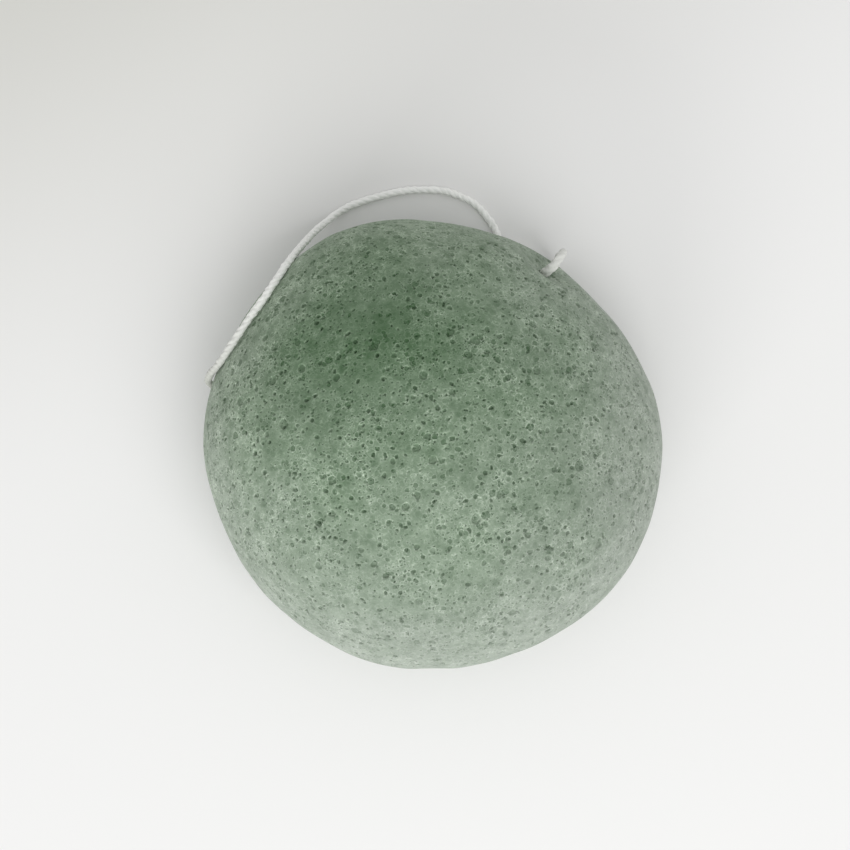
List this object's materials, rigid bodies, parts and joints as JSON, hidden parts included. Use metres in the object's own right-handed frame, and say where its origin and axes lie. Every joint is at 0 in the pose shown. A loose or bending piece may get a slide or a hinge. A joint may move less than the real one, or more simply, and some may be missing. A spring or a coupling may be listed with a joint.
{
  "type": "konjac sponge",
  "caption": "Half-ball facial sponge of open-pore plant-fibre foam with a flat back and a white cotton hanging cord threaded through it and knotted.",
  "frame": {"origin": "centre of the flat back, on the surface that the sponge lies on", "axes": "+Z from the flat back to the top of the dome, +Y towards the side that the hanging loop lies on, +X to the right in the picture"},
  "size_m": [0.0813, 0.0874, 0.042],
  "materials": {
    "konjac_foam": "satin",
    "cotton_cord": "matte"
  },
  "bodies": {
    "root": {"sponge_body": "konjac_foam", "cord_in_tunnel": "cotton_cord", "cord_loop": "cotton_cord", "cord_return": "cotton_cord", "knot_loop_end": "cotton_cord", "knot_return_end": "cotton_cord", "tail_left": "cotton_cord", "tail_right": "cotton_cord"}
  },
  "joints": []
}
